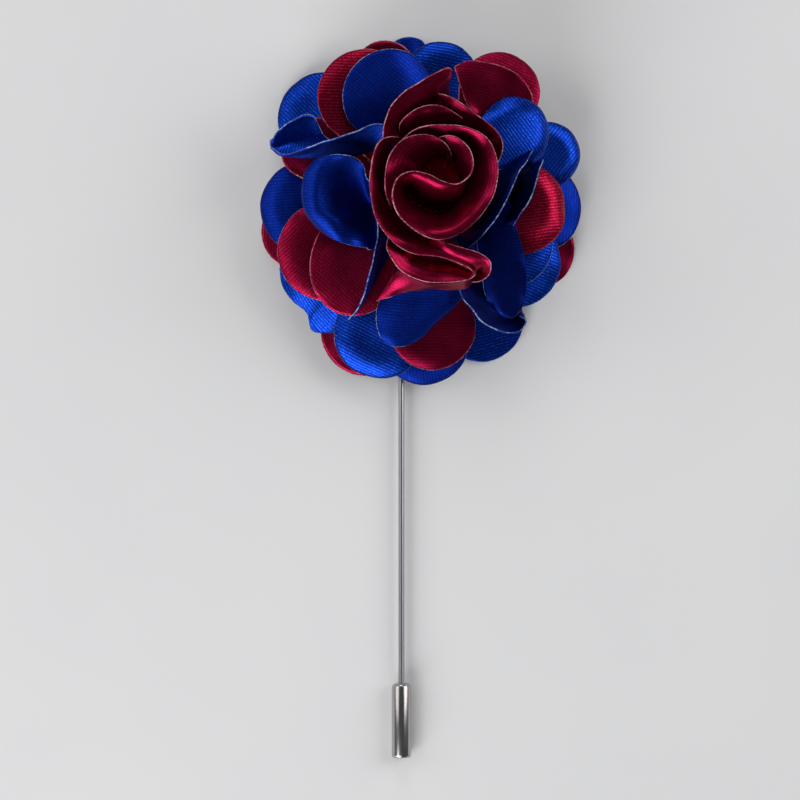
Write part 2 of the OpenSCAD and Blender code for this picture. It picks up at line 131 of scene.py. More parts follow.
# Tip and root are polar about the flower's axis: degrees, radius and height. Then come the arch of the spine
# in degrees; the width; how far the left and the right half cup up and how far the petal rolls about its
# spine, in degrees; how far its rim rolls over; the round end's length as a share of half the width; the turn
# of the ribs in degrees
PETALS = [Petal(*row) for row in (
    ("petal_low_01", "smooth_blue_painted_shade", 95, 24.5, 0.6, 91, 7, 4.7, -18, 7, 10, 75, 0, 0, 1, 85),
    ("petal_low_02", "blue", 24, 23.6, 5.4, 28, 7, 6.7, 10, 9, 25, 0, 0, 0.8, 1, 30),
    ("petal_low_03", "smooth_blue_painted_shade", 2, 22.2, 2.9, 3, 7, 5.25, 10, 12, 8, 8, 0, 0.5, 1, 80),
    ("petal_low_04", "wine", -18, 22, 0.55, -18, 7, 4.7, -18, 10.5, 8, 8, 0, 0, 1, 85),
    ("petal_low_05", "blue", 299, 22.8, 0.6, 300, 7, 4.7, -16, 11.5, 8, 8, 0, 0, 1, 75),
    ("petal_low_06", "smooth_blue_painted_shade", 271, 23.9, 3.2, 272, 7, 5.5, 0, 12.5, 8, 8, 0, 0.6, 1, 10),
    ("petal_low_07", "wine", 244.5, 24.3, 0.9, 245.5, 7, 4, 11, 12, 4, 8, 0, 0, 1, 85),
    ("petal_low_09", "rose", 188, 22.4, 0.55, 192, 7, 4.8, -20, 10.6, 10, 10, 0, 0, 1, 85),
    ("petal_low_10", "wine", 151, 21.6, 7.2, 149, 7, 6.9, 0, 9, 40, 6, 0, 0, 1, 85),
    ("petal_low_11", "blue", 136, 25.2, 1.4, 136, 7, 4, 10, 12.5, 10, 10, 0, 0.4, 1, 0),
    ("petal_mid_01", "blue", 82.5, 23.6, 5.8, 80, 7, 5.3, 10, 11, 0, 20, 0, 0.6, 1, 85),
    ("petal_mid_02", "rose", 59, 25, 7.4, 46, 9, 7.9, 10, 11.2, 20, 10, 0, 0.5, 1, 90),
    ("petal_mid_03", "blue", -21, 18.8, 6.9, -20, 7, 8.1, 5, 12, 5, 0, 0, 0.5, 1, 5),
    ("petal_mid_04", "blue", -28, 21, 4.8, -29, 7, 6.7, 10, 12, 8, 8, 0, 0.6, 1, 5),
    ("petal_mid_06", "blue", 251, 24, 5, 250, 7, 7.1, 10, 12.5, 8, 8, 0, 0.7, 1, 82),
    ("petal_mid_07", "rose", 203, 20.9, 8.2, 203, 7, 7.1, 0, 13.6, 8, 8, 0, 0.7, 1, 20),
    ("petal_mid_08", "smooth_blue_painted_shade", 178, 22.4, 5.4, 177, 7, 5.9, 4, 12, 14, 4, 0, 1.0, 1, 5),
    ("petal_mid_09", "red", 116, 24, 9.1, 119, 7, 8.2, 0, 13, 12, 12, 0, 0.5, 1, 64),
    ("petal_mid_10", "wine", 105, 24.1, 7.5, 103, 7, 6.6, 0, 8.6, 0, 10, 0, 0, 1, 85),
    ("petal_high_02", "blue", 37, 21.4, 10.8, 52, 8, 12.4, 22, 9.8, -25, 0, 8, 0.8, 1, 100),
    ("petal_high_05", "red", 2, 19.9, 8.4, 0, 7, 8.4, 14, 12.5, 12, 15, 0, 1.3, 1, 5),
    ("petal_high_07", "wine", 275, 21.9, 7.1, 276, 7, 8.2, 0, 11.8, 8, 8, 0, 0.5, 1, 85),
    ("petal_high_10", "rose", 229, 18.2, 10.2, 195, 6.2, 9, 0, 13.6, 14, 24, 0, 0.4, 1.2, 75),
    ("petal_high_13", "smooth_blue_painted_shade", 106, 22.5, 11.7, 104, 7, 9.5, 0, 13, 8, -32, 0, 0.4, 1, 34),
)]

# Rosette walls: rows of x, y and rim height, then the wall's depth, how far its foot stands back to the
# right and how far its rim rolls over
WALLS = {
    "rosette_swirl": [
        (1.4, 35, 19, 7, 1.4, 0.3), (2.5, 35.5, 20.8, 8, 2, 0.3), (3.8, 35.6, 21.5, 9, 2.4, 0.3),
        (5.1, 35.1, 21.8, 9.4, 2.4, 0.3), (6.3, 33.8, 22, 9.6, 2.4, 0.3), (6.8, 31.9, 22, 9.6, 2.2, 0.3),
        (6.3, 30.2, 22.3, 9.6, 1, 0.5), (4.7, 29.1, 22.6, 9.6, -1.8, 0.8), (2.7, 29.5, 22.8, 9.8, -3, 0.8),
        (0.8, 30.4, 23, 10, -3.2, 0.8), (-1.4, 30.8, 23, 10, -2.4, 0.8), (-3.3, 29.9, 23, 10, -1.6, 0.5),
        (-4.1, 28, 23, 10, -1.8, 0.3), (-3.7, 25.8, 23, 10, -2.4, 0.3), (-2.5, 24.1, 23, 10, -3, 0.3),
        (-0.4, 22.5, 23, 10, -3.4, 0.7), (2.1, 21.7, 23, 10, -3.6, 1.1), (5.1, 22.5, 23, 10, -3.6, 1.4),
        (7.8, 24.9, 22.7, 9.8, -3.8, 1.2), (9.7, 27.9, 22.5, 9.5, -3.8, 0.5),
        (10.2, 31, 22.3, 9.2, -3.6, 0.3), (9.7, 33.8, 22, 9, -3.2, 0.3), (8.1, 35.8, 21.8, 8.5, -2.8, 0.3),
        (5.6, 36.9, 21.6, 8, -2.6, 0.3), (2.8, 37.1, 21.6, 8, -2.4, 0.3), (0.6, 37, 21.4, 7.5, -2, 0.3),
        (-1.2, 36.4, 20.8, 7, -1.6, 0.3), (-2.6, 35.4, 19.4, 6, -1.2, 0.3), (-3.2, 34.4, 17.6, 5, -1, 0.3)],
    "rosette_loop": [
        (4, 32.2, 16.5, 4, -0.4, 0.3), (3.9, 33.4, 19.4, 6, -0.8, 0.3), (3, 34.7, 21.2, 8.5, -1.6, 0.3),
        (1.4, 35.6, 21.8, 9, -3, 0.3), (-0.4, 35.8, 22, 9, -3.8, 0.3), (-2.1, 35.3, 22, 9, -4.4, 0.3),
        (-3.6, 34.2, 21.9, 9, -4.8, 0.3), (-4.6, 32.3, 21.8, 9, -5, 0.3), (-5, 30, 21.6, 9, -4.4, 0.3),
        (-4.9, 27.9, 20.4, 7, -2.8, 0.3), (-4.2, 26, 18.2, 4, -1.4, 0.3)],
    "rosette_collar": [
        (-3.2, 35.6, 18.2, 4, -0.8, 0.3), (-4.5, 35.6, 19.6, 6, -1.4, 0.3), (-5.6, 35.1, 20.2, 7, -2, 0.3),
        (-6.4, 33.8, 20.6, 7, -2.2, 0.3), (-6.9, 31.3, 21, 7, -2.4, 0.3), (-7, 28.3, 21.2, 7.5, -2.6, 0.3),
        (-6.5, 25.4, 21.2, 7.5, -2.8, 0.3), (-5.2, 22.8, 21, 7.5, -3, 0.4), (-3.3, 20.9, 21, 7, -3.2, 0.8),
        (-1.1, 19.8, 21, 7, -3.2, 1.3), (1.3, 19.6, 20.8, 7, -3, 1.2), (3.8, 19, 20.5, 6, -2.4, 0.7),
        (5.9, 18.1, 20, 5.5, -1.6, 0.3), (6.9, 17.4, 19.2, 5, -1, 0.3), (7.2, 16.8, 18, 4, -0.6, 0.3)],
    "rosette_fold": [
        (1.4, 22.4, 19.6, 4, 1, 0.3), (3.3, 21.2, 20.9, 5, 1.8, 1.0), (5.6, 20.5, 21, 5, 2.4, 1.0),
        (7.8, 19.8, 20.6, 5, 2.6, 0.7), (9.2, 18.7, 20, 5, 2.4, 0.3), (9.1, 17.1, 19.2, 5, 2, 0.3),
        (8, 16.2, 18, 4.4, 1.6, 0.3), (6.8, 16, 16.6, 3.4, 1, 0.3)],
    "rosette_ruffle": [
        (-3.2, 24, 17.2, 3.6, -1, 0.3), (-4.3, 22.7, 18.6, 5, -1.8, 0.3), (-4.8, 20.8, 19.4, 5, -2.6, 0.3),
        (-4.1, 19.2, 19.5, 5, -3.2, 0.3), (-3, 17.7, 19, 5, -3.6, 0.3), (-1.4, 16.7, 18.8, 5, -3.6, 0.3),
        (0.8, 16, 18.6, 5, -3.6, 0.3), (3, 16, 18.4, 4.6, -3.2, 0.3), (5, 16.1, 18.4, 4.4, -2.6, 0.3),
        (6.6, 16.5, 18.6, 4.4, -2, 0.3), (7.2, 17.4, 18.9, 4.4, -1.4, 0.3), (6.8, 18.4, 18.4, 4, -1, 0.3)],
    "rosette_cape": [
        (2.2, 41.5, 18.4, 0.6, 0.2, 0.2), (3.1, 41.3, 19.2, 2.6, 1, 0.3), (4.3, 40.7, 20, 6, 2.4, 0.3),
        (5.8, 39.7, 20, 8, 3, 0.3), (7.5, 38.5, 20, 8, 3, 0.3), (9.3, 37.1, 19.8, 8, 3, 0.3),
        (10.5, 35.8, 19.4, 7.4, 2.6, 0.3), (10.9, 34.3, 18.6, 6, 2, 0.3), (10.6, 32.9, 17.2, 4, 1.2, 0.3),
        (9.8, 31.7, 15.8, 2.4, 0.6, 0.3)],
    "rosette_brow": [
        (-3, 36.2, 16.4, 3, 0.6, 0.3), (-2.9, 37.6, 18.4, 5, 1.6, 0.3), (-1.7, 38.8, 19.7, 7.5, 2.6, 0.6),
        (-0.2, 39.6, 20.2, 8, 3.2, 0.9), (1.4, 39.9, 20.4, 8, 3.2, 0.9), (3, 39.6, 20.2, 7.8, 3, 0.8),
        (4.6, 38.8, 19.6, 7, 2.4, 0.5), (5.9, 37.8, 18.4, 5, 1.6, 0.3), (6.8, 36.9, 16.8, 3, 0.8, 0.3)],
}

# Folded sheets: tone, rib angle in degrees, beaded borders, then rows of points (x, y, z) from the foot to
# the rim, left to right
NETS = {
    "rosette_peak": ("wine", 90, "rim", [
        [(-2.6, 35.2, 13), (-2.2, 36, 13), (-1.2, 37.1, 13), (0, 38, 13.2), (1.2, 38.9, 13.5),
         (2.2, 39.6, 13.8), (3, 40.2, 14), (3.4, 40.4, 13.8)],
        [(-3.9, 35.6, 16.8), (-3.5, 37, 17.1), (-2.4, 38.6, 17.6), (-0.9, 39.9, 18.2), (0.6, 41, 18.6),
         (2, 41.9, 18.8), (3.2, 42.6, 18.5), (3.7, 42.8, 17.9)],
        [(-5.4, 35.6, 18.8), (-5.1, 37.6, 19), (-4.2, 39.8, 19.4), (-2.4, 41.7, 19.8), (-0.2, 43.1, 20),
         (1.8, 44.2, 20), (3.4, 44.9, 19.8), (4, 44.6, 19.2)]]),
    "rosette_hem": ("wine", 90, "rim", [
        [(-3.4, 18.6, 17.4), (-3.2, 18.1, 17.9), (-2.6, 17.3, 18.2), (-1.2, 16.5, 18.2), (0.9, 15.9, 18.1),
         (3.1, 15.9, 17.9), (5, 16.1, 17.8), (6.3, 16.6, 17.8)],
        [(-4.2, 16.6, 16.4), (-3.5, 16.3, 16.8), (-2.2, 15.8, 17), (-0.4, 15.6, 17), (1.8, 15.5, 16.9),
         (3.9, 15.5, 16.8), (5.6, 15.8, 16.8), (6.6, 16.4, 16.9)],
        [(-6.2, 13.5, 15.1), (-4.8, 14, 15.4), (-2.8, 14.6, 15.7), (-0.4, 15, 15.8), (1.8, 15.1, 15.6),
         (4, 15, 15.5), (5.8, 15.2, 15.4), (6.9, 15.9, 15.4)]]),
    "petal_high_01": ("wine", 88, "left rim", [
        [(7.2, 38.2, 9.8), (7.9, 37.8, 9.5), (8.8, 37.2, 9.3), (9.6, 36.5, 9.2), (10.3, 35.8, 9.2),
         (10.9, 35, 9.2), (11.4, 34.2, 9.2)],
        [(6.2, 40.6, 10), (7.4, 40.4, 9.8), (8.8, 39.9, 9.6), (10, 39.1, 9.4), (11, 38.1, 9.2),
         (12, 37, 9.1), (12.7, 35.8, 9.1)],
        [(5.4, 42.9, 10), (6.9, 42.9, 10), (8.8, 42.3, 9.8), (10.6, 41.4, 9.6), (12.1, 40.3, 9.4),
         (13.4, 39, 9.3), (14.4, 37.4, 9.2)],
        [(4.9, 44.4, 9.9), (6.6, 44.7, 10), (8.7, 44.3, 9.9), (10.9, 43.5, 9.7), (12.8, 42.3, 9.6),
         (14.3, 40.8, 9.4), (15.2, 39, 9.3)],
        [(4.5, 45.7, 9.7), (6.3, 46.5, 9.8), (8.7, 46.3, 9.7), (11.4, 45.6, 9.6), (13.5, 44.3, 9.6),
         (14.9, 42.3, 9.5), (15.3, 40.4, 9.4)]]),
    "petal_high_03": ("painted_shade_blue", 90, "rim", [
        [(12.6, 33.2, 10.2), (10.8, 31, 11.6), (8.8, 28, 12.5), (7.5, 25.4, 12.5), (6.2, 23.6, 12.5),
         (5.4, 22.4, 11.6)],
        [(13.8, 33.6, 11), (12.2, 31.2, 14), (10.2, 28, 16.2), (8.7, 25.1, 16.2), (7, 23.1, 15.2),
         (5.8, 21.8, 13.3)],
        [(14.5, 33.8, 11.5), (12.9, 31.3, 15.4), (11, 28, 18.4), (9.3, 25, 18.6), (7.5, 22.7, 17),
         (6.1, 21.3, 14.4)],
        [(15.1, 34.1, 11.8), (13.5, 31.4, 15.8), (11.8, 28, 19), (10.1, 24.8, 19.4), (8.1, 22.3, 17.8),
         (6.4, 20.8, 15)]]),
    "petal_high_04": ("painted_shade_blue", 90, "rim", [
        [(14.4, 32, 9.8), (13.3, 30.6, 10.6), (12.4, 29, 11), (11.7, 27.2, 11.1), (11.2, 25.8, 11.6),
         (10.9, 24.8, 12.2)],
        [(15.6, 32.4, 10.8), (14.7, 31, 12.6), (13.9, 29.2, 13.6), (13.1, 27, 13.8), (12.1, 25.3, 13.3),
         (11.5, 24.2, 12.6)],
        [(16.5, 32.9, 11.6), (16, 31.3, 14.4), (15.4, 29.4, 16.4), (14.5, 26.9, 16.6), (13.2, 25, 14.9),
         (12.3, 23.8, 13)]]),
    "petal_high_06": ("painted_shade_blue", 90, "left rim", [
        [(8.4, 27, 11.6), (9.6, 27.4, 12.2), (10.8, 27.6, 12.3), (11.8, 27.2, 12.3), (12.6, 26.6, 12.2)],
        [(7.6, 24, 11.9), (9.2, 24.2, 12.4), (10.8, 24.4, 12.5), (12, 24.2, 12.5), (12.8, 23.9, 12.4)],
        [(7.7, 20.6, 12), (9.4, 20.6, 12.4), (11.2, 20.7, 12.5), (12.7, 20.7, 12.5), (13.8, 20.6, 12.4)],
        [(8.3, 17.4, 11.9), (9.8, 17.4, 12.3), (11.6, 17.3, 12.4), (13.2, 17.2, 12.4), (14.3, 17.1, 12.3)],
        [(8.6, 14.8, 11.8), (10, 14.4, 12.2), (11.6, 14.1, 12.3), (13.1, 13.9, 12.3), (14.1, 14, 12.1)],
        [(9.5, 13, 11.6), (10.6, 12.3, 12), (11.8, 11.9, 12.1), (12.8, 12, 12), (13.6, 12.6, 11.8)],
        [(10.6, 12, 11.3), (11.3, 11.4, 11.6), (11.9, 11.2, 11.7), (12.4, 11.2, 11.6), (13, 11.7, 11.4)]]),
    "petal_high_08": ("smooth_blue_painted_shade", 90, "left rim right", [
        [(-4.6, 15.8, 10.4), (-2.5, 16.6, 11), (0, 17, 11.2), (2.5, 17, 11), (5, 16.8, 10.4),
         (6.4, 16.2, 9.8)],
        [(-6, 12.9, 10.4), (-3.6, 13.4, 10.9), (-0.8, 13.9, 11), (1.8, 14.1, 10.8), (3.9, 14, 10.3),
         (5.3, 13.8, 9.6)],
        [(-6.2, 10.6, 10.2), (-4.2, 10.8, 10.5), (-1.8, 11.1, 10.5), (0.4, 11.4, 10.3), (2.3, 11.8, 9.9),
         (3.7, 12.2, 9.4)],
        [(-5.7, 8.8, 9.9), (-4.3, 8.6, 10), (-2.6, 8.6, 9.9), (-0.9, 8.9, 9.7), (0.9, 9.8, 9.4),
         (2.2, 10.8, 9)],
        [(-5, 7.9, 9.1), (-4.1, 7.5, 9.3), (-3, 7.4, 9.3), (-1.8, 7.6, 9.2), (-0.3, 8.4, 9),
         (0.9, 9.5, 8.7)]]),
    "petal_low_08": ("blue", 82, "left rim right", [
        [(-9, 21.5, 5.4), (-8.8, 20.6, 5.4), (-8.5, 19.8, 5.4), (-8.2, 19.2, 5.4), (-8, 18.8, 5.3),
         (-7.8, 18.4, 5.3), (-7.5, 18, 5.2), (-7.2, 17.6, 5.2), (-6.8, 17.2, 5.2)],
        [(-14.6, 20.3, 5), (-14.2, 18.6, 5), (-13.4, 17, 4.9), (-12.4, 15.9, 4.7), (-11.9, 15, 4.5),
         (-11.4, 14.2, 4.4), (-10.6, 13.8, 4.4), (-9.8, 13.6, 4.4), (-8.7, 14, 4.4)],
        [(-18, 19.2, 4.2), (-17.3, 17, 4.3), (-16, 15, 4.2), (-14.6, 13.8, 4), (-14, 12.6, 3.4),
         (-13.5, 11.6, 3.1), (-12.2, 11.1, 3.1), (-11, 11.2, 3.2), (-9.6, 12, 3.4)],
        [(-19.6, 18.3, 3.3), (-19.2, 15.8, 3.4), (-17.8, 13.7, 3.4), (-16, 12.2, 3.2), (-15.6, 10.8, 2.5),
         (-15.1, 9.6, 2.1), (-13.5, 9.3, 2.2), (-12, 9.6, 2.4), (-10.1, 11, 2.8)]]),
    "petal_high_09": ("smooth_blue_painted_shade", 90, "rim", [
        [(-5.2, 23.8, 11), (-5.1, 21.6, 10.8), (-5.5, 19.4, 10.5), (-6, 17.4, 10), (-6.7, 15.5, 9.4),
         (-7.7, 13.8, 8.6), (-8.8, 12.6, 7.8)],
        [(-5.6, 24.2, 13.6), (-5.6, 21.8, 14), (-6.1, 19.2, 14), (-6.6, 16.9, 13.4), (-7.4, 14.8, 12.2),
         (-8.4, 12.9, 10.6), (-9.4, 11.8, 9)],
        [(-6.1, 24.6, 16.2), (-6.1, 22, 17), (-6.7, 19.3, 17.4), (-7.2, 16.7, 16.8), (-8, 14.2, 15.2),
         (-9, 12.1, 12.8), (-10, 11, 10.6)]]),
    "petal_mid_05": ("painted_shade_blue", 90, "rim", [
        [(7.4, 17.6, 8.8), (8.4, 16, 8.8), (9.6, 14.5, 8.6), (10.9, 13.5, 8.4), (12, 13.1, 8.2),
         (12.8, 13, 8.2), (13.2, 12.8, 8.1), (13.2, 12.5, 8)],
        [(5.8, 16.6, 9.6), (6.8, 14.9, 9.7), (8.2, 13, 9.6), (9.9, 11.8, 9.2), (11.6, 11.2, 8.9),
         (13, 11.3, 8.8), (13.6, 11.9, 8.8), (13.3, 12.2, 8.6)],
        [(4.6, 16.2, 12), (5.5, 14.3, 12.4), (6.9, 12.2, 12.6), (8.9, 10.3, 12.2), (11.2, 9.3, 11.2),
         (13.3, 9.4, 10.4), (14.3, 10.8, 10.2), (13.4, 11.6, 10)]]),
    "petal_high_12": ("blue", 85, "left rim right", [
        [(-5.2, 37.4, 15), (-5.4, 35.6, 13.6), (-5.6, 34, 11.9), (-5.8, 34.6, 11.3), (-6, 35.4, 11.6)],
        [(-8.9, 36.5, 15.4), (-9, 34.9, 13.6), (-9.2, 33.5, 11.6), (-9.6, 34.3, 11), (-10, 35, 11.4)],
        [(-12.2, 35.5, 15.2), (-12.3, 34.3, 13.4), (-12.5, 33.3, 11.6), (-12.9, 34.4, 10.9),
         (-13.2, 36, 11.2)],
        [(-14.9, 34.7, 14.4), (-14.9, 33.9, 13), (-15, 33.2, 11.8), (-15.2, 35.6, 11), (-15.1, 38.9, 12.6)],
        [(-17.2, 33.9, 13.6), (-17.2, 33.5, 12.7), (-17.3, 33.3, 12), (-17.7, 35.4, 11.4),
         (-18.1, 38, 13.8)],
        [(-19.2, 33.6, 13.2), (-19.3, 33.5, 12.7), (-19.4, 33.6, 12.3), (-19.8, 34.7, 12.2),
         (-20, 36.2, 13.6)],
        [(-20.4, 34.3, 13.1), (-20.5, 34.4, 13), (-20.6, 34.6, 12.9), (-20.7, 34.9, 12.9),
         (-20.7, 35.3, 13.1)]]),
    "petal_high_11": ("smooth_blue_painted_shade", 0, "left rim right", [
        [(-6.4, 21, 11.8), (-6.2, 22.4, 12), (-6, 24, 11.2), (-6, 25.4, 10.6), (-6.1, 26.8, 10.8),
         (-6.3, 28.2, 12.2), (-6.8, 29.6, 14.4)],
        [(-7.8, 20.9, 13.4), (-7.8, 22, 13.8), (-7.9, 23.9, 12.4), (-8, 25.8, 11.4), (-8, 27.8, 11.5),
         (-8, 29.8, 12.9), (-8, 31.9, 15.2)],
        [(-9.5, 21.1, 13.7), (-9.7, 22.4, 14.3), (-10, 24.4, 14.1), (-10.2, 26.3, 12.8),
         (-10.2, 28.8, 12.9), (-10, 31.2, 14.2), (-9.4, 33.1, 15.8)],
        [(-11.4, 21.7, 14), (-11.8, 23, 14.7), (-12.3, 24.8, 15), (-12.5, 26.5, 14.3), (-12.5, 29, 14.4),
         (-12.1, 31.6, 15.2), (-11.4, 33.4, 15.9)],
        [(-12.9, 22.4, 13.7), (-13.5, 23.6, 14.4), (-14.1, 25.2, 14.9), (-14.4, 26.7, 15),
         (-14.4, 29, 15.2), (-13.9, 31.4, 15.5), (-12.9, 33.2, 15.6)],
        [(-13.9, 23.1, 13.3), (-14.6, 24.1, 13.9), (-15.3, 25.3, 14.4), (-15.7, 26.9, 14.5),
         (-15.7, 29, 14.6), (-15.1, 31.2, 15), (-14, 32.9, 15.1)],
        [(-14.4, 23.5, 12.9), (-15.1, 24.4, 13.4), (-15.8, 25.5, 13.8), (-16.3, 27, 13.9), (-16.3, 29, 14),
         (-15.8, 31.1, 14.4), (-14.6, 32.6, 14.6)]]),
}


def polar(azimuth, radius, height):
    """A point by its azimuth in degrees, its distance from the flower's axis and its height."""
    turn = math.radians(azimuth)
    return np.array([FLOWER[0] + radius * math.cos(turn), FLOWER[1] + radius * math.sin(turn), height])


def seeded(name):
    """A random generator that is the same for a name in each run."""
    return np.random.default_rng(sum(ord(letter) * (place + 7) for place, letter in enumerate(name)))


def swells(x, y, rng, pitch):
    """A smooth random field of plane waves, whose crests lie about pitch mm apart."""
    field = np.zeros(np.broadcast(x, y).shape)
    for _ in range(SWELL_WAVES):
        turn, phase = rng.uniform(0, 2 * math.pi, 2)
        stretch = 2 * math.pi / (pitch * rng.uniform(0.7, 1.5))
        field += np.sin(stretch * (x * math.cos(turn) + y * math.sin(turn)) + phase)
    return field / math.sqrt(SWELL_WAVES)


def relief(x, y, rim, rng, kind, spread=1):
    """Heights of soft swells, times spread, and of the rim's waves; rim is the distance to the rim."""
    soft = kind.swell * swells(x, y, rng, kind.pitch) * spread
    return soft + kind.wave * swells(x, y, rng, kind.wave_pitch) * np.exp(-rim / kind.fade)


def unit(vectors):
    """The vectors at a length of one."""
    return vectors / np.maximum(np.linalg.norm(vectors, axis=-1, keepdims=True), 1e-12)


def grid_normals(mid):
    """Unit normals of a grid of points, rows from foot to rim."""
    return unit(np.cross(np.gradient(mid, axis=1), np.gradient(mid, axis=0)))


def run_lengths(grid, axis):
    """How far each point of a grid or path lies along its own line, from the line's start."""
    steps = np.linalg.norm(np.diff(grid, axis=axis), axis=-1)
    return np.insert(np.cumsum(steps, axis=axis), 0, 0, axis=axis)


def resampled(path, step, *fields):
    """A polyline and its fields at even steps along it."""
    along = run_lengths(path, 0)
    even = np.linspace(0, along[-1], max(3, int(along[-1] / step)))
    return [np.stack([np.interp(even, along, column) for column in values.T], -1)
            for values in (path, *fields)]


def catmull_rom(rows, parts):
    """Smooth curve through an array's rows, with that many parts between two of them."""
    rows = np.array(rows, float)
    ends = np.concatenate([[2 * rows[0] - rows[1]], rows, [2 * rows[-1] - rows[-2]]])
    curve = []
    for before, start, end, following in zip(ends, ends[1:], ends[2:], ends[3:]):
        square = 2 * before - 5 * start + 4 * end - following
        cube = 3 * start - before - 3 * end + following
        for t in np.linspace(0, 1, parts, endpoint=False):
            curve.append(0.5 * (2 * start + (end - before) * t + square * t ** 2 + cube * t ** 3))
    return np.array(curve + [rows[-1]])


def weave_map(x, y, rib):
    """Weave coordinates with U across the ribs, which turn by rib degrees from the sheet's length."""
    turn = math.radians(rib)
    across = x * math.cos(turn) - y * math.sin(turn)
    along = x * math.sin(turn) + y * math.cos(turn)
    return np.stack([across, along], -1) / UV_UNIT


# Meshes
def shell_faces(rows, columns):
    """Quads of a closed thin shell: its upper grid, its lower grid and the strip round them."""
    index = np.arange(rows * columns).reshape(rows, columns)
    upper = np.stack([index[:-1, :-1], index[:-1, 1:], index[1:, 1:], index[1:, :-1]], -1).reshape(-1, 4)
    lower = upper[:, ::-1] + rows * columns
    ring = np.concatenate([index[0, :-1], index[:-1, -1], index[-1, :0:-1], index[:0:-1, 0]])
    after = np.roll(ring, -1)
    border = np.stack([after, ring, ring + rows * columns, after + rows * columns], -1)
    return np.concatenate([upper, lower, border])


def tube_faces(index):
    """Quads between the rings of a grid of vertex numbers, one row for each ring."""
    after = np.roll(index, -1, axis=1)
    return np.stack([index[:-1], after[:-1], after[1:], index[1:]], -1).reshape(-1, 4)


def rim_path(grid, borders):
    """The beaded part of a grid's border: up its left side, along its rim and down its right side."""
    left = grid[:-1, 0] if "left" in borders else grid[:0, 0]
    right = grid[-2::-1, -1] if "right" in borders else grid[:0, 0]
    return np.concatenate([left, grid[-1], right])


def bead_tube(mid, normals, borders, rng):
    """Vertices and faces of the melted bead that follows a sheet's cut rim."""
    path, up = resampled(rim_path(mid, borders), BEAD_STEP, rim_path(normals, borders))
    tangent = unit(np.gradient(path, axis=0))
    side = unit(np.cross(tangent, up))
    up = np.cross(side, tangent)
    rings = len(path)
    radius = BEAD * (1 + BEAD_UNEVEN * rng.uniform(-1, 1, (rings, 1, 1)))
    angle = np.linspace(0, 2 * math.pi, BEAD_SIDES, endpoint=False)[None, :, None]
    points = path[:, None] + radius * (np.cos(angle) * up[:, None] + np.sin(angle) * side[:, None])
    index = np.arange(rings * BEAD_SIDES).reshape(rings, BEAD_SIDES)
    caps = [index[0][::-1].tolist(), index[-1].tolist()]
    return points.reshape(-1, 3), tube_faces(index)[:, ::-1].tolist() + caps


def new_object(name, points, faces, uv):
    """A smooth mesh object from points in mm, with its weave map."""
    mesh = bpy.data.meshes.new(name)
    mesh.from_pydata((points * MM).tolist(), [], faces)
    mesh.polygons.foreach_set("use_smooth", np.ones(len(mesh.polygons), bool))
    corners = np.empty(len(mesh.loops), int)
    mesh.loops.foreach_get("vertex_index", corners)
    mesh.uv_layers.new(name="weave").data.foreach_set("uv", uv[corners].astype(np.float32).ravel())
    mesh.update()
    item = bpy.data.objects.new(name, mesh)
    bpy.context.scene.collection.objects.link(item)
    return item


def cloth_piece(name, mid, uv, tone, borders, rng):
    """A thin closed sheet round a grid of mid-surface points, with a bead along its cut rim."""
    normals = grid_normals(mid)
    upper, lower = mid + normals * CLOTH / 2, mid - normals * CLOTH / 2
    shell = np.concatenate([upper.reshape(-1, 3), lower.reshape(-1, 3)])
    faces = shell_faces(*mid.shape[:2]).tolist()
    bead, bead_faces = bead_tube(mid, normals, borders, rng)
    finish = np.repeat([0, 1], [len(faces), len(bead_faces)])  # 0 is the satin, 1 is the rim's finish
    faces += [[corner + len(shell) for corner in face] for face in bead_faces]
    ring, corner = np.divmod(np.arange(len(bead)), BEAD_SIDES)
    bead_uv = np.stack([ring * BEAD_STEP, corner * BEAD], -1) / UV_UNIT
    flat = uv.reshape(-1, 2)
    item = new_object(name, np.concatenate([shell, bead]), faces, np.concatenate([flat, flat, bead_uv]))
    item.data.materials.append(SATIN[tone])
    item.data.materials.append(RIM[tone])
    item.data.polygons.foreach_set("material_index", finish)
    return item


def lathe(name, profile, centre, axis, turns, relief_of=None):
    """A closed turned solid: profile rows are (radius, place along the axis), from one pole to the other.

    relief_of gives the radius more or less, from the rows between the poles and the angles.
    """
    profile = np.array(profile, float)
    angle = np.linspace(0, 2 * math.pi, turns, endpoint=False)
    between = profile[1:-1, :, None]
    radius = np.repeat(between[:, 0], turns, axis=1)
    if relief_of is not None:
        radius = radius + relief_of(between, angle)
    ring = np.zeros((*radius.shape, 3))
    first, second = [k for k in range(3) if k != axis]
    ring[..., first] = centre[first] + radius * np.cos(angle)
    ring[..., second] = centre[second] + radius * np.sin(angle)
    ring[..., axis] = between[:, 1]
    poles = np.tile(np.array(centre, float), (2, 1))
    poles[:, axis] = profile[[0, -1], 1]
    index = np.arange(radius.size).reshape(radius.shape)
    after = np.roll(index, -1, axis=1)
    faces = tube_faces(index).tolist()
    faces += [[radius.size, after[0, k], index[0, k]] for k in range(turns)]
    faces += [[radius.size + 1, index[-1, k], after[-1, k]] for k in range(turns)]
    if axis == 1:
        faces = [face[::-1] for face in faces]
    around = np.broadcast_to(np.minimum(angle, 2 * math.pi - angle) * profile[:, 0].max(), radius.shape)
    up = np.broadcast_to(run_lengths(profile, 0)[1:-1, None], radius.shape)
    uv = np.concatenate([np.stack([up, around], -1).reshape(-1, 2), np.zeros((2, 2))]) / UV_UNIT
    return new_object(name, np.concatenate([ring.reshape(-1, 3), poles]), faces, uv)


# Materials
def material(name):
    """A new node material, its tree and its Principled shader."""
    made = bpy.data.materials.new(name)
    made.use_nodes = True
    return made, made.node_tree, made.node_tree.nodes["Principled BSDF"]


def feed(tree, node, inputs):
    """The node, with its inputs set to values or linked to other nodes' outputs."""
    for key, value in inputs.items():
        if isinstance(value, bpy.types.NodeSocket):
            tree.links.new(value, node.inputs[key])
        else:
            node.inputs[key].default_value = value
    return node


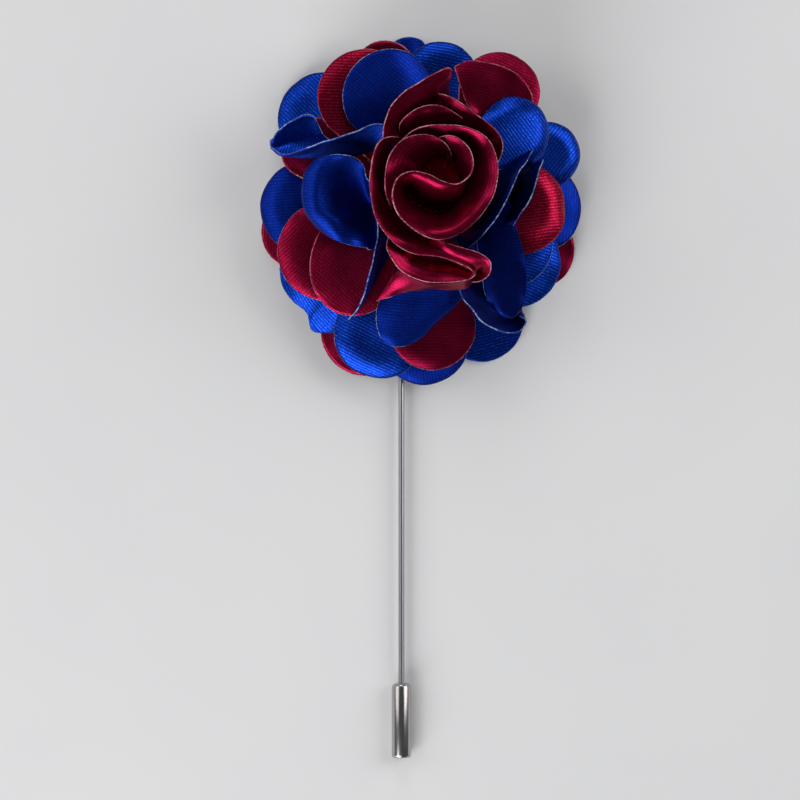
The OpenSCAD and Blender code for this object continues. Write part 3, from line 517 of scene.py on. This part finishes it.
def add(tree, kind, inputs, **settings):
    """A new node with its settings and its inputs."""
    node = tree.nodes.new(kind)
    for key, value in settings.items():
        setattr(node, key, value)
    return feed(tree, node, inputs)


def maths(tree, operation, first, second):
    """The output of a two-input Math node."""
    return add(tree, "ShaderNodeMath", {0: first, 1: second}, operation=operation).outputs[0]


def weighted(tree, *terms):
    """The sum of (output, weight) terms."""
    parts = [maths(tree, "MULTIPLY", output, weight) for output, weight in terms]
    total = parts[0]
    for part in parts[1:]:
        total = maths(tree, "ADD", total, part)
    return total


def above(tree, value, level, gain):
    """How far a value stands above a level, times gain, held between 0 and 1."""
    risen = maths(tree, "MULTIPLY", maths(tree, "SUBTRACT", value, level), gain)
    return add(tree, "ShaderNodeClamp", {"Value": risen}).outputs[0]


def vector(tree, operation, inputs):
    """The output of a Vector Math node."""
    return add(tree, "ShaderNodeVectorMath", inputs, operation=operation).outputs[0]


def blended(tree, factor, first, second):
    """The colour output of a Mix node."""
    return add(tree, "ShaderNodeMix", {"Factor": factor, 6: first, 7: second}, data_type="RGBA").outputs[2]


def noise(tree, place, scale, detail=2.0):
    """The value of a Noise node."""
    return add(tree, "ShaderNodeTexNoise", {"Vector": place, "Scale": scale, "Detail": detail}).outputs["Fac"]


def stripes(tree, place, pitch, direction):
    """Even waves along X or Y, pitch mm of cloth apart."""
    scale = 2 * math.pi / 20 / (pitch / UV_UNIT)  # a Wave node of scale 1 runs through 20 radians in a unit
    return add(tree, "ShaderNodeTexWave", {"Vector": place, "Scale": scale, "Distortion": 0.0},
               wave_type="BANDS", bands_direction=direction).outputs["Fac"]


def stretched(tree, place, scale):
    """Coordinates that are scaled by axis, so that a noise of scale 1 draws long marks."""
    return add(tree, "ShaderNodeMapping", {"Vector": place, "Scale": scale}).outputs[0]


def object_place(tree):
    """Coordinates in the object's own metres."""
    return add(tree, "ShaderNodeTexCoord", {}).outputs["Object"]


def bump(tree, height, strength, distance):
    """The normal of a Bump node, whose distance is in mm."""
    inputs = {"Strength": strength, "Distance": distance * MM, "Height": height}
    return add(tree, "ShaderNodeBump", inputs).outputs[0]


def satin(name, deep, bright, pale, ribbed, rough):
    """Polyester satin: warp ribs, thread-to-thread colour, soft mottling and an anisotropic sheen.

    Painted glints, a paler colour on the ribs' crests, stand in for light caught by the threads, more so
    where ribbed is high; rough is the shader's roughness.
    """
    made, tree, shader = material(name)
    cloth = add(tree, "ShaderNodeUVMap", {}, uv_map="weave").outputs[0]
    # The threads wander a little from straight lines
    drift = add(tree, "ShaderNodeTexNoise", {"Vector": cloth, "Scale": 1.6, "Detail": 1.0}).outputs["Color"]
    nudge = vector(tree, "SCALE", {0: vector(tree, "SUBTRACT", {0: drift, 1: (0.5, 0.5, 0.5)}),
                                   "Scale": 0.05})
    weave = vector(tree, "ADD", {0: cloth, 1: nudge})
    ribs = stripes(tree, weave, RIB_PITCH, "X")
    weft = stripes(tree, weave, RIB_PITCH / 2.3, "Y")
    threads = noise(tree, stretched(tree, weave, (60, 3, 1)), 1.0)
    cloud = noise(tree, cloth, 4.5)
    dots = noise(tree, stretched(tree, weave, (26, 34, 1)), 1.0, 1.0)
    tone = weighted(tree, (ribs, 0.08 + 0.12 * ribbed), (threads, 0.45), (cloud, 0.42))
    base = blended(tree, maths(tree, "SUBTRACT", tone, 0.06), deep, bright)
    # Painted highlight: the pale colour is mixed in where rib crests and dots meet, as glints of light on the
    # threads
    painted_glints = above(tree, maths(tree, "MULTIPLY", ribs, dots), 0.36, 4.0)
    height = weighted(tree, (ribs, 0.2 + 0.6 * ribbed), (weft, 0.2), (threads, 0.5))
    feed(tree, shader, {
        "Base Color": blended(tree, maths(tree, "MULTIPLY", painted_glints, 0.12 + 0.5 * ribbed), base, pale),
        "Normal": bump(tree, height, 0.5, 0.03),
        "Tangent": add(tree, "ShaderNodeTangent", {}, direction_type="UV_MAP", uv_map="weave").outputs[0],
        "Roughness": rough, "Anisotropic": 0.4, "Metallic": 0.9, "Specular IOR Level": 0.25})
    return made


def rim_bead(name, pale, dark):
    """The melted, slightly frayed bead of a cut rim: pale, with darker specks of the cloth's own colour."""
    made, tree, shader = material(name)
    place = object_place(tree)
    specks = noise(tree, place, 2600.0, 1.0)
    patches = noise(tree, place, 420.0, 1.0)
    level = above(tree, maths(tree, "ADD", specks, patches), 0.86, 3.0)
    feed(tree, shader, {
        "Base Color": blended(tree, level, dark, pale),
        "Normal": bump(tree, specks, 0.6, 0.04),
        "Roughness": 0.5})
    return made


def felt(name, deep, bright):
    """Dense craft felt: matted fibres in two scales, with a soft sheen."""
    made, tree, shader = material(name)
    place = object_place(tree)
    fibres = noise(tree, stretched(tree, place, (1500, 1500, 3000)), 1.0, 4.0)
    mats = noise(tree, place, 300.0)
    feed(tree, shader, {
        "Base Color": blended(tree, weighted(tree, (fibres, 0.7), (mats, 0.3)), deep, bright),
        "Normal": bump(tree, fibres, 0.8, 0.12),
        "Roughness": 0.95,
        "Sheen Weight": 0.4})
    return made


def drawn_metal(name, colour, rough, lines):
    """Drawn metal: fine lines along the stick's length, a little wear in the gloss."""
    made, tree, shader = material(name)
    place = object_place(tree)
    drawn = noise(tree, stretched(tree, place, lines), 1.0, 3.0)
    wear = noise(tree, place, 260.0)
    dark = [part * 0.82 for part in colour[:3]] + [1]
    feed(tree, shader, {
        "Base Color": blended(tree, drawn, dark, colour),
        "Normal": bump(tree, drawn, 0.25, 0.01),
        "Roughness": maths(tree, "ADD", maths(tree, "MULTIPLY", wear, 0.14), rough - 0.07),
        "Metallic": 1.0})
    return made


SATIN = {
    "blue": satin("blue satin", deep=(0.0006, 0.007, 0.12, 1), bright=(0.0025, 0.046, 0.52, 1),
                  pale=(0.022, 0.15, 0.85, 1), ribbed=1.0, rough=0.36),
    # Smooth blue satin with fewer ribs, also made darker than the blue as painted shade, for petals that lie
    # in shade
    "smooth_blue_painted_shade": satin("smooth blue satin", deep=(0.0005, 0.005, 0.09, 1), bright=(0.002, 0.03, 0.42, 1),
                  pale=(0.02, 0.12, 0.8, 1), ribbed=0.15, rough=0.46),
    "red": satin("burgundy satin", deep=(0.09, 0.0004, 0.006, 1), bright=(0.48, 0.004, 0.045, 1),
                 pale=(0.9, 0.05, 0.14, 1), ribbed=0.8, rough=0.37),
    # Painted shade: a darker copy of the blue satin, for petals that lie in shade
    "painted_shade_blue": satin("shaded blue satin", deep=(0.0004, 0.003, 0.05, 1), bright=(0.0015, 0.014, 0.21, 1),
                   pale=(0.01, 0.07, 0.5, 1), ribbed=0.03, rough=0.42),
    # Painted light: a brighter copy of the smooth burgundy satin, for petals that catch more light
    "rose": satin("bright burgundy satin", deep=(0.10, 0.0004, 0.008, 1), bright=(0.54, 0.005, 0.07, 1),
                  pale=(0.95, 0.07, 0.2, 1), ribbed=0.3, rough=0.37),
    "wine": satin("smooth burgundy satin", deep=(0.08, 0.0004, 0.006, 1), bright=(0.42, 0.004, 0.06, 1),
                  pale=(0.9, 0.05, 0.2, 1), ribbed=0.05, rough=0.31),
}
BLUE_RIM = rim_bead("blue rim", (0.34, 0.44, 0.66, 1), (0.01, 0.04, 0.26, 1))
RED_RIM = rim_bead("burgundy rim", (0.66, 0.30, 0.33, 1), (0.22, 0.01, 0.04, 1))
BLUES = ("blue", "smooth_blue_painted_shade", "painted_shade_blue")
RIM = {tone: BLUE_RIM if tone in BLUES else RED_RIM for tone in SATIN}
FELT = felt("dark felt", (0.006, 0.006, 0.009, 1), (0.035, 0.034, 0.042, 1))
STEEL = drawn_metal("drawn steel", (0.44, 0.43, 0.46, 1), 0.32, (9000, 180, 9000))
NICKEL = drawn_metal("nickel steel", (0.50, 0.48, 0.47, 1), 0.26, (5000, 300, 5000))


# Cloth
def stand_for(piece, node, body):
    """Puts a piece in the place of a CAD node, on the body that it rides on."""
    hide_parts(node)
    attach(piece, body)


def seat(piece, name, width, length, area):
    """Puts a gathered sheet in the place of its CAD solid; its flat width, length and area in mm are worked
    out but not used.
    """
    flat = (max(STRIP, width) * MM, max(STRIP, length) * MM)
    area = max(LEAST_AREA * flat[0] * flat[1], area * MM ** 2)
    stand_for(piece, name, "flower_pin")


def petal_grid(p, rng):
    """Mid-surface of a petal, its weave coordinates and its length along the cloth."""
    root, tip = polar(p.root_az, p.root_r, p.root_z), polar(p.tip_az, p.tip_r, p.tip_z)
    chord = tip - root
    heading = math.atan2(chord[1], chord[0])
    elevation = math.atan2(chord[2], math.hypot(chord[0], chord[1]))
    arch = math.radians(p.arch) or STRAIGHT
    length = np.linalg.norm(chord) * (arch / 2) / math.sin(arch / 2)

    # Outline: a narrow foot, straight sides and a round end, filled by a grid of a across and b along
    half, foot = p.wide / 2, PETAL_FOOT * p.wide
    middle = length - half * p.oval
    sweep = min(MAX_SWEEP, END_SWEEP + math.atan((half - foot) / middle),
                math.acos(max(-1, -middle / (half * p.oval))))
    a, b = np.meshgrid(np.linspace(-1, 1, PETAL_ACROSS + 1), np.linspace(0, 1, PETAL_ALONG + 1))
    arc_x, arc_y = half * np.sin(sweep * a), middle + half * p.oval * np.cos(sweep * a)
    x, y = foot * a + (arc_x - foot * a) * b, arc_y * b
    rim = np.minimum((1 - b) * np.hypot(arc_x, arc_y), (1 - np.abs(a)) * half)

    # Spine: an arc from root to tip
    start, bend = elevation + arch / 2, -arch / length
    slope = start + bend * y
    forward = (np.sin(slope) - math.sin(start)) / bend
    rise = (math.cos(start) - np.cos(slope)) / bend
    cos_h, sin_h = math.cos(heading), math.sin(heading)
    spine = np.stack([root[0] + forward * cos_h, root[1] + forward * sin_h, root[2] + rise], -1)
    up = np.stack([-np.sin(slope) * cos_h, -np.sin(slope) * sin_h, np.cos(slope)], -1)
    left = np.array([-sin_h, cos_h, 0.0])

    # Section: a cup on each side of the spine, rolled about it, and a lip that rolls over along the rim
    roll = math.radians(p.roll)
    across, over = left * math.cos(roll) + up * math.sin(roll), up * math.cos(roll) - left * math.sin(roll)
    cup = np.radians(np.where(x >= 0, p.cup_left, p.cup_right)) / half
    cup = np.where(np.abs(cup) < NEAR_ZERO, NEAR_ZERO, cup)
    reach = np.hypot(x, np.maximum(y - middle, 0)) / half
    aside = np.sin(cup * np.abs(x)) / cup * np.sign(x)
    lip = p.lip * np.maximum(0, (reach - LIP_FROM) / (1 - LIP_FROM)) ** 2
    lift = (1 - np.cos(cup * np.abs(x))) / cup - lip
    mid = spine + across * aside[..., None] + over * lift[..., None]

    pleats = (np.sin(2 * math.pi * x / PLEAT_PITCH + rng.uniform(0, 6)) * PLEAT_HEIGHT
              * np.exp(-y / PLEAT_REACH))
    heights = pleats + relief(x, y, rim, rng, PETAL_RELIEF, np.minimum(1, y / SWELLS_FROM))
    return mid + grid_normals(mid) * heights[..., None], weave_map(x, y, p.rib), length


def make_petal(p):
    """A petal piece in place of its CAD solid."""
    rng = seeded(p.name)
    mid, uv, length = petal_grid(p, rng)
    piece = cloth_piece("cloth_" + p.name, mid, uv, p.tone, "left rim right", rng)
    half = p.wide / 2
    area = math.pi * half ** 2 / 2 * p.oval + (length - half * p.oval) * half * (1 + 2 * PETAL_FOOT)
    seat(piece, p.name, p.wide, length, area)


def core_axis(height):
    """How far the core's axis leans from the flower's axis at a height, in x and y."""
    return CORE_LEAN * min(1, max(0, (height - LEAN_FROM) / LEAN_OVER))


def gathered_foot(row):
    """A row of points that gathers a sheet's foot into the side of the core."""
    middle = row.mean(0)
    height = middle[2] - FOOT_DROP
    centre = FLOWER + core_axis(height)
    target = np.array([*(centre + FOOT_RADIUS * unit(middle[:2] - centre)), height])
    return target + FOOT_WIDTH * (row - middle)


def make_folded(name, tone, rib, borders, rows):
    """A sheet through a net of points, in place of its CAD solid."""
    rng = seeded(name)
    net = np.array(rows, float)
    if name != HANGING:
        net = np.concatenate([[gathered_foot(net[0])], net])
    mid = catmull_rom(net, round(NET_CELLS / (len(net) - 1)))
    mid = catmull_rom(mid.swapaxes(0, 1), round(NET_CELLS / (net.shape[1] - 1))).swapaxes(0, 1)
    x, y = run_lengths(mid, 1), run_lengths(mid, 0)
    width, length = x[:, -1:], y[-1:]
    rim = np.minimum(np.minimum(x, width - x), length - y)
    mid = mid + grid_normals(mid) * relief(x, y, rim, rng, NET_RELIEF)[..., None]
    piece = cloth_piece("cloth_" + name, mid, weave_map(x - width / 2, y, rib), tone, borders, rng)
    cells = np.linalg.norm(np.cross(np.diff(mid, axis=0)[:, :-1], np.diff(mid, axis=1)[:-1]), axis=-1)
    seat(piece, name, width.max(), length.max(), cells.sum())


def wall_grid(rows, rng):
    """Mid-surface of a rosette wall from its foot up to its rim, its weave coordinates and its length."""
    curve = catmull_rom(rows, WALL_PARTS)
    plan, rest = resampled(curve[:, :2], WALL_STEP, curve[:, 2:])
    tangent = unit(np.gradient(plan, axis=0))
    left = np.stack([-tangent[:, 1], tangent[:, 0]], -1)
    top, depth, flare, lip = rest.T
    down = np.linspace(1, 0, WALL_DEEP + 1)[:, None] ** WALL_CROWD
    lean = flare * (1 - (1 - down) ** WALL_BOW)
    along = run_lengths(plan, 0)
    x, y = np.broadcast_arrays(along, -depth * down)
    mid = np.empty((*y.shape, 3))
    mid[..., :2] = plan - left * lean[..., None]
    mid[..., 2] = top + y - lip * np.maximum(0, 1 + y / WALL_LIP) ** 2
    mid = mid + grid_normals(mid) * relief(x, y, -y, rng, WALL_RELIEF)[..., None]
    return mid, np.stack([y, x], -1) / UV_UNIT, along[-1]


def make_wall(name, rows):
    """A rosette wall in place of its CAD solid."""
    rng = seeded(name)
    mid, uv, length = wall_grid(rows, rng)
    piece = cloth_piece("cloth_" + name, mid, uv, "wine", "rim", rng)
    width = run_lengths(mid, 0)[-1].mean()
    seat(piece, name, width, length, width * length)


# Core, felt and metal
def make_core():
    """The bound feet of the petals: a firm pleated cone of cloth that leans under the rosette's holes."""
    def pleats(rows, angle):
        wander = 3 * np.sin(3 * angle) + rows[:, 1] * 0.5
        return CORE_PLEAT * np.sin(CORE_PLEATS * angle + wander) * np.minimum(1, rows[:, 0] / 3)
    core = lathe("core", CORE_PROFILE, (*FLOWER, 0), axis=2, turns=156, relief_of=pleats)
    for vertex in core.data.vertices:
        vertex.co.xy += Vector(core_axis(vertex.co.z / MM) * MM)
    core.data.materials.append(SATIN["wine"])
    stand_for(core, "flower_core", "flower_pin")


def make_felt():
    """The felt disc behind the flower, with a slightly uneven cut edge."""
    def uneven(rows, angle):
        return (0.09 * np.sin(5 * angle + 1) + 0.06 * np.sin(13 * angle)) * (rows[:, 0] > FELT_MIDDLE)
    disc = lathe("felt_disc", FELT_PROFILE, (*FLOWER, 0), axis=2, turns=180, relief_of=uneven)
    disc.data.materials.append(FELT)
    stand_for(disc, "felt_back", "flower_pin")


def make_stopper():
    """The barrel stopper with rounded ends and a blind bore round the stick's point."""
    low, high = (np.array(corner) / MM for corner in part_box("stopper"))
    outer, centre, closed, mouth = (high[0] - low[0]) / 2, (low + high) / 2, low[1], high[1]
    # Radius and place along the stick: the rounded closed end, the barrel, the rounded mouth, then the bore
    rows = [(0, closed), (outer - 0.42, closed), (outer - 0.24, closed + 0.04), (outer - 0.08, closed + 0.17),
            (outer, closed + 0.4), (outer, centre[1]), (outer, mouth - 0.55), (outer - 0.05, mouth - 0.34),
            (outer - 0.2, mouth - 0.14), (outer - 0.42, mouth - 0.03), (outer - 0.6, mouth),
            (BORE + 0.12, mouth), (BORE, mouth - 0.12), (BORE, closed + BORE_FLOOR + 0.05),
            (0, closed + BORE_FLOOR)]
    barrel = lathe("stopper_barrel", rows, centre, axis=1, turns=72)
    barrel.data.materials.append(NICKEL)
    stand_for(barrel, "stopper", "stopper")


def dress_pin():
    """Gives the steel pin, which is shown as it is in CAD, its material."""
    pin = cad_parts["steel_pin"]
    pin.data.materials.clear()
    pin.data.materials.append(STEEL)


# Stage, light and camera
def make_floor():
    """A plain pale table top."""
    bpy.ops.mesh.primitive_plane_add(size=FLOOR, location=(0, 0, 0))
    floor = bpy.context.object
    floor.name = "floor"
    made, tree, shader = material("floor paper")
    mottled = noise(tree, object_place(tree), 30.0)
    feed(tree, shader, {"Base Color": blended(tree, mottled, (0.74, 0.74, 0.75, 1), (0.80, 0.80, 0.80, 1)),
                        "Roughness": 0.9})
    floor.data.materials.append(made)


def add_box(name, azimuth, elevation, size, power):
    """A square soft box that looks at the flower."""
    light = bpy.data.lights.new(name, "AREA")
    light.shape = "SQUARE"
    light.size = size
    light.energy = power
    item = bpy.data.objects.new(name, light)
    turn, rise = math.radians(azimuth), math.radians(elevation)
    away = np.array([math.cos(rise) * math.cos(turn), math.cos(rise) * math.sin(turn), math.sin(rise)])
    item.location = np.array(AIM) + away * BOX_DISTANCE
    item.rotation_euler = (math.pi / 2 - rise, 0, turn + math.pi / 2)
    bpy.context.scene.collection.objects.link(item)


def make_studio():
    """Soft boxes on four sides and a dim sky."""
    for box in BOXES:
        add_box(*box)
    world = bpy.context.scene.world or bpy.data.worlds.new("sky")
    bpy.context.scene.world = world
    world.use_nodes = True
    background = world.node_tree.nodes["Background"]
    background.inputs["Color"].default_value = SKY
    background.inputs["Strength"].default_value = SKY_STRENGTH
    bpy.context.scene.view_settings.view_transform = "Standard"


def make_camera():
    """Straight above the pin, at the photograph's scale."""
    camera = bpy.data.cameras.new("camera")
    camera.lens = FOCAL_LENGTH
    camera.sensor_width = SENSOR
    item = bpy.data.objects.new("camera", camera)
    item.location = CAMERA
    bpy.context.scene.collection.objects.link(item)
    bpy.context.scene.camera = item


for petal in PETALS:
    make_petal(petal)
for wall_name, wall_rows in WALLS.items():
    make_wall(wall_name, wall_rows)
for net_name, net_row in NETS.items():
    make_folded(net_name, *net_row)
make_core()
make_felt()
dress_pin()
make_stopper()
make_floor()
make_studio()
make_camera()

bpy.context.view_layer.update()
